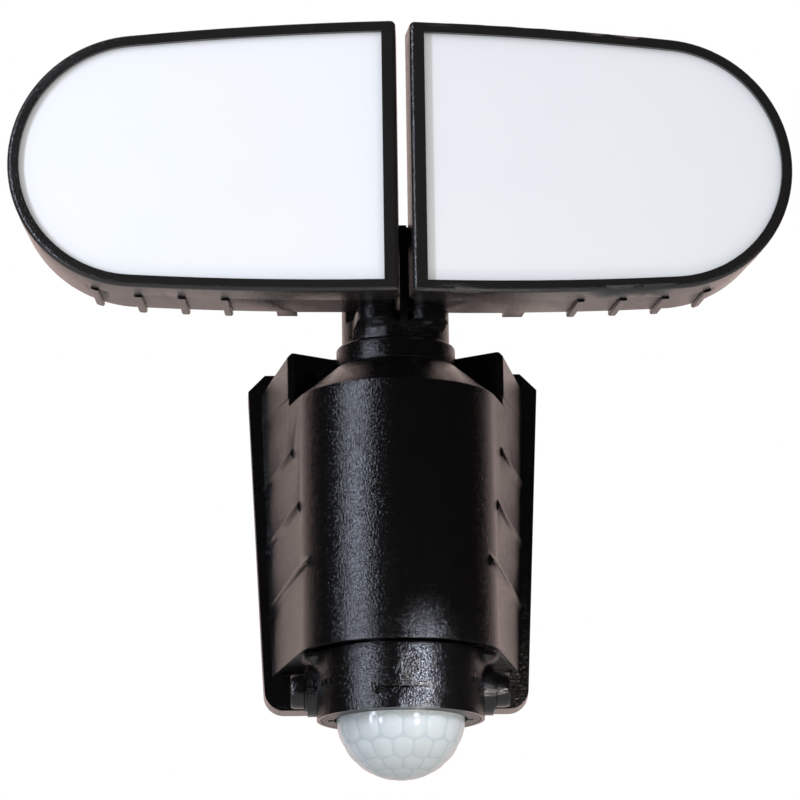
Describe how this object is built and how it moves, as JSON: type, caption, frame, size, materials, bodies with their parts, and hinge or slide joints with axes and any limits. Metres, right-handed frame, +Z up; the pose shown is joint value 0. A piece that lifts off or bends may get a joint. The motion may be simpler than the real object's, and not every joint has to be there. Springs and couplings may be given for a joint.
{
  "type": "motion sensor security light",
  "caption": "Wall-held outdoor security light: D-shaped flood heads swivel on a turning neck above a half-round casing; a turning sensor barrel with dome lens and side dials hangs below.",
  "frame": {"origin": "middle of the wall plate's back face, between the four wall screw holes", "axes": "+Z up along the wall, +X to the viewer's right, -Y away from the wall towards the viewer"},
  "size_m": [0.2951, 0.111, 0.2792],
  "materials": {
    "textured_black": "fine spark-eroded texture",
    "smooth_black": "satin",
    "diffuser_white": "frosted",
    "dome_white": "frosted, moulded lens facets",
    "reflector_white": "gloss",
    "seal_rubber": "matte",
    "screw_steel": "zinc plated",
    "board_green": "solder mask",
    "cell_sleeve": "shrink sleeve"
  },
  "bodies": {
    "housing": {"wall_plate": "textured_black", "rear_cover": "textured_black", "front_shell": "textured_black", "shoulder_cap": "textured_black", "case_screws": "screw_steel", "cable_grommet": "seal_rubber", "battery_cells": "cell_sleeve", "battery_cradle": "smooth_black", "control_board": "board_green", "neck_collar": "smooth_black"},
    "turret": {"neck_turret": "textured_black", "neck_washer": "smooth_black", "neck_nut": "smooth_black", "left_hinge_pin": "screw_steel", "right_hinge_pin": "screw_steel", "left_hinge_washer": "smooth_black", "right_hinge_washer": "smooth_black"},
    "right_head": {"right_bezel": "textured_black", "right_diffuser": "diffuser_white", "right_lamp_gasket": "seal_rubber", "right_reflector_tray": "reflector_white", "right_led_board": "board_green", "right_rear_housing": "textured_black", "right_lamp_screws": "screw_steel"},
    "left_head": {"left_bezel": "textured_black", "left_diffuser": "diffuser_white", "left_lamp_gasket": "seal_rubber", "left_reflector_tray": "reflector_white", "left_led_board": "board_green", "left_rear_housing": "textured_black", "left_lamp_screws": "screw_steel"},
    "sensor": {"left_barrel_half": "textured_black", "right_barrel_half": "textured_black", "sensor_swivel_ring": "smooth_black", "dome_lens": "dome_white", "lens_ring": "smooth_black", "sensor_board": "board_green", "motion_detector": "screw_steel"},
    "right_dial_knob": {"right_dial": "textured_black"},
    "left_dial_knob": {"left_dial": "textured_black"}
  },
  "joints": [
    {"name": "neck_pan", "type": "hinge", "parent": "housing", "child": "turret", "pos_m": [0, -0.058, 0.06], "axis": [0, 0, 1], "range_deg": [-19.3, 10.7]},
    {"name": "right_head_swivel", "type": "hinge", "parent": "turret", "child": "right_head", "pos_m": [0.01135, -0.08222, 0.1], "axis": [0, 0, 1], "range_deg": [-2.2, 15.8]},
    {"name": "left_head_swivel", "type": "hinge", "parent": "turret", "child": "left_head", "pos_m": [-0.0076, -0.08364, 0.1], "axis": [0, 0, -1], "range_deg": [-7.4, 10.6]},
    {"name": "sensor_pan", "type": "hinge", "parent": "housing", "child": "sensor", "pos_m": [0, -0.058, -0.0675], "axis": [0, 0, 1], "range_deg": [-75, 75]},
    {"name": "right_dial_turn", "type": "hinge", "parent": "sensor", "child": "right_dial_knob", "pos_m": [0.038, -0.054, -0.0672], "axis": [1, 0, 0], "range_deg": [-135, 135]},
    {"name": "left_dial_turn", "type": "hinge", "parent": "sensor", "child": "left_dial_knob", "pos_m": [-0.038, -0.054, -0.0672], "axis": [-1, 0, 0], "range_deg": [-135, 135]}
  ]
}
